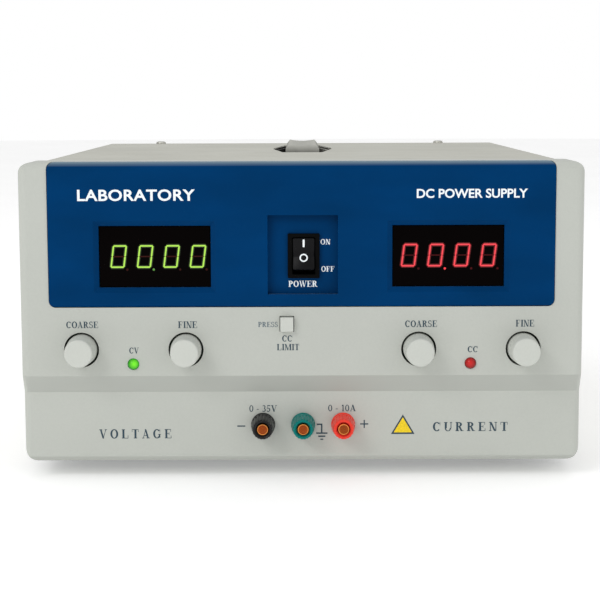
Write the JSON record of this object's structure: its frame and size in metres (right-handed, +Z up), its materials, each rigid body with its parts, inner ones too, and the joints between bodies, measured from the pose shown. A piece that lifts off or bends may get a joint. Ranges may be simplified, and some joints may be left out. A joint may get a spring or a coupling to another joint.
{
  "type": "bench power supply",
  "caption": "Linear bench power supply: light case with a blue display fascia, coarse and fine knobs, binding posts, rocker switch and carrying handle.",
  "frame": {"origin": "the centre of the bounding box in X and Y, on the plane of the rubber feet's soles", "axes": "+X to the right as seen by someone facing the front panel, +Y from the front panel to the rear, +Z up"},
  "size_m": [0.265, 0.3874, 0.1533],
  "materials": {
    "bezel_grey": "moulded light grey plastic, fine satin grain",
    "fascia_blue": "glossy moulded blue plastic",
    "cover_grey": "light grey-beige powder coat on sheet steel",
    "zinc_steel": "zinc-plated sheet steel",
    "foot_rubber": "moulded black rubber",
    "nickel_steel": "nickel-plated steel",
    "black_plastic": "moulded black plastic",
    "grip_grey": "moulded mid grey plastic",
    "knob_grey": "moulded light grey plastic",
    "circuit_board": "glass-epoxy circuit board with green solder mask",
    "smoked_window": "dark smoked acrylic",
    "green_lens": "diffused green light-emitting diode",
    "red_lens": "diffused red light-emitting diode",
    "post_black": "moulded black plastic",
    "post_green": "moulded green plastic",
    "post_red": "moulded red plastic",
    "brass": "turned brass",
    "laminated_steel": "varnished laminated steel",
    "copper_winding": "enamelled copper wire under tape",
    "aluminium_sink": "extruded aluminium",
    "capacitor_sleeve": "shrink sleeve on an aluminium can",
    "wire_insulation": "insulated wires in a sleeve"
  },
  "bodies": {
    "case": {"front_bezel": "bezel_grey", "display_fascia": "fascia_blue", "front_subpanel": "zinc_steel", "top_cover": "cover_grey", "base_chassis": "zinc_steel", "rear_panel": "cover_grey", "foot_front_left": "foot_rubber", "foot_front_right": "foot_rubber", "foot_rear_left": "foot_rubber", "foot_rear_right": "foot_rubber", "cover_screw_left": "nickel_steel", "cover_screw_right": "nickel_steel", "handle_well": "black_plastic", "pot_body_voltage_coarse": "zinc_steel", "pot_body_voltage_fine": "zinc_steel", "pot_body_current_coarse": "zinc_steel", "pot_body_current_fine": "zinc_steel", "power_switch_housing": "black_plastic", "limit_switch_body": "black_plastic", "front_board": "circuit_board", "display_window_voltage": "smoked_window", "display_module_voltage": "black_plastic", "led_voltage": "green_lens", "display_window_current": "smoked_window", "display_module_current": "black_plastic", "led_current": "red_lens", "post_base_negative": "post_black", "post_base_earth": "post_green", "post_base_positive": "post_red", "post_stud_negative": "brass", "post_stud_earth": "brass", "post_stud_positive": "brass", "transformer_core": "laminated_steel", "transformer_winding": "copper_winding", "heat_sink": "aluminium_sink", "fan_frame": "black_plastic", "mains_inlet": "black_plastic", "control_board": "circuit_board", "filter_capacitor": "capacitor_sleeve", "bridge_rectifier": "black_plastic", "wiring_loom": "wire_insulation"},
    "knob_voltage_coarse_body": {"knob_voltage_coarse": "knob_grey", "pot_shaft_voltage_coarse": "nickel_steel"},
    "knob_voltage_fine_body": {"knob_voltage_fine": "knob_grey", "pot_shaft_voltage_fine": "nickel_steel"},
    "knob_current_coarse_body": {"knob_current_coarse": "knob_grey", "pot_shaft_current_coarse": "nickel_steel"},
    "knob_current_fine_body": {"knob_current_fine": "knob_grey", "pot_shaft_current_fine": "nickel_steel"},
    "rocker_body": {"power_rocker": "black_plastic"},
    "limit_button_body": {"limit_button": "knob_grey"},
    "post_washer_negative_body": {"post_washer_negative": "brass"},
    "post_cap_negative_body": {"post_cap_negative": "post_black"},
    "post_washer_earth_body": {"post_washer_earth": "brass"},
    "post_cap_earth_body": {"post_cap_earth": "post_green"},
    "post_washer_positive_body": {"post_washer_positive": "brass"},
    "post_cap_positive_body": {"post_cap_positive": "post_red"},
    "handle_body": {"handle_grip": "grip_grey"},
    "fuse_drawer_body": {"fuse_drawer": "black_plastic"},
    "fan_rotor_body": {"fan_rotor": "black_plastic"}
  },
  "joints": [
    {"name": "turn_voltage_coarse", "type": "hinge", "parent": "case", "child": "knob_voltage_coarse_body", "pos_m": [-0.10385, -0.18725, 0.0629], "axis": [0, 1, 0], "range_deg": [0, 300]},
    {"name": "turn_voltage_fine", "type": "hinge", "parent": "case", "child": "knob_voltage_fine_body", "pos_m": [-0.0546, -0.18725, 0.0629], "axis": [0, 1, 0], "range_deg": [0, 300]},
    {"name": "turn_current_coarse", "type": "hinge", "parent": "case", "child": "knob_current_coarse_body", "pos_m": [0.0551, -0.18725, 0.0629], "axis": [0, 1, 0], "range_deg": [0, 300]},
    {"name": "turn_current_fine", "type": "hinge", "parent": "case", "child": "knob_current_fine_body", "pos_m": [0.10435, -0.18725, 0.0629], "axis": [0, 1, 0], "range_deg": [0, 300]},
    {"name": "rocker_tilt", "type": "hinge", "parent": "case", "child": "rocker_body", "pos_m": [0.001, -0.17565, 0.10695], "axis": [1, 0, 0], "range_deg": [0, 22]},
    {"name": "limit_button_press", "type": "slide", "parent": "case", "child": "limit_button_body", "axis": [0, 1, 0], "range_m": [0, 0.003], "stiffness_N_per_m": 400, "springref_m": -0.001},
    {"name": "cap_lift_negative", "type": "slide", "parent": "case", "child": "post_washer_negative_body", "axis": [0, -1, 0], "range_m": [0, 0.0049]},
    {"name": "cap_turn_negative", "type": "hinge", "parent": "post_washer_negative_body", "child": "post_cap_negative_body", "pos_m": [-0.01855, -0.18425, 0.026], "axis": [0, -1, 0], "range_deg": [0, 2520]},
    {"name": "cap_lift_earth", "type": "slide", "parent": "case", "child": "post_washer_earth_body", "axis": [0, -1, 0], "range_m": [0, 0.0049]},
    {"name": "cap_turn_earth", "type": "hinge", "parent": "post_washer_earth_body", "child": "post_cap_earth_body", "pos_m": [0.0005, -0.18425, 0.026], "axis": [0, -1, 0], "range_deg": [0, 2520]},
    {"name": "cap_lift_positive", "type": "slide", "parent": "case", "child": "post_washer_positive_body", "axis": [0, -1, 0], "range_m": [0, 0.0049]},
    {"name": "cap_turn_positive", "type": "hinge", "parent": "post_washer_positive_body", "child": "post_cap_positive_body", "pos_m": [0.01955, -0.18425, 0.026], "axis": [0, -1, 0], "range_deg": [0, 2520]},
    {"name": "handle_lift", "type": "slide", "parent": "case", "child": "handle_body", "axis": [0, 0, 1], "range_m": [0, 0.018]},
    {"name": "fuse_drawer_pull", "type": "slide", "parent": "case", "child": "fuse_drawer_body", "axis": [0, 1, 0], "range_m": [0, 0.015]},
    {"name": "fan_spin", "type": "hinge", "parent": "case", "child": "fan_rotor_body", "pos_m": [0.072, 0.17475, 0.08], "axis": [0, 1, 0], "continuous": true}
  ],
  "couplings": [
    {"joint": "cap_turn_negative", "follows": "cap_lift_negative", "rad_per_m": 8975},
    {"joint": "cap_turn_earth", "follows": "cap_lift_earth", "rad_per_m": 8975},
    {"joint": "cap_turn_positive", "follows": "cap_lift_positive", "rad_per_m": 8975}
  ]
}
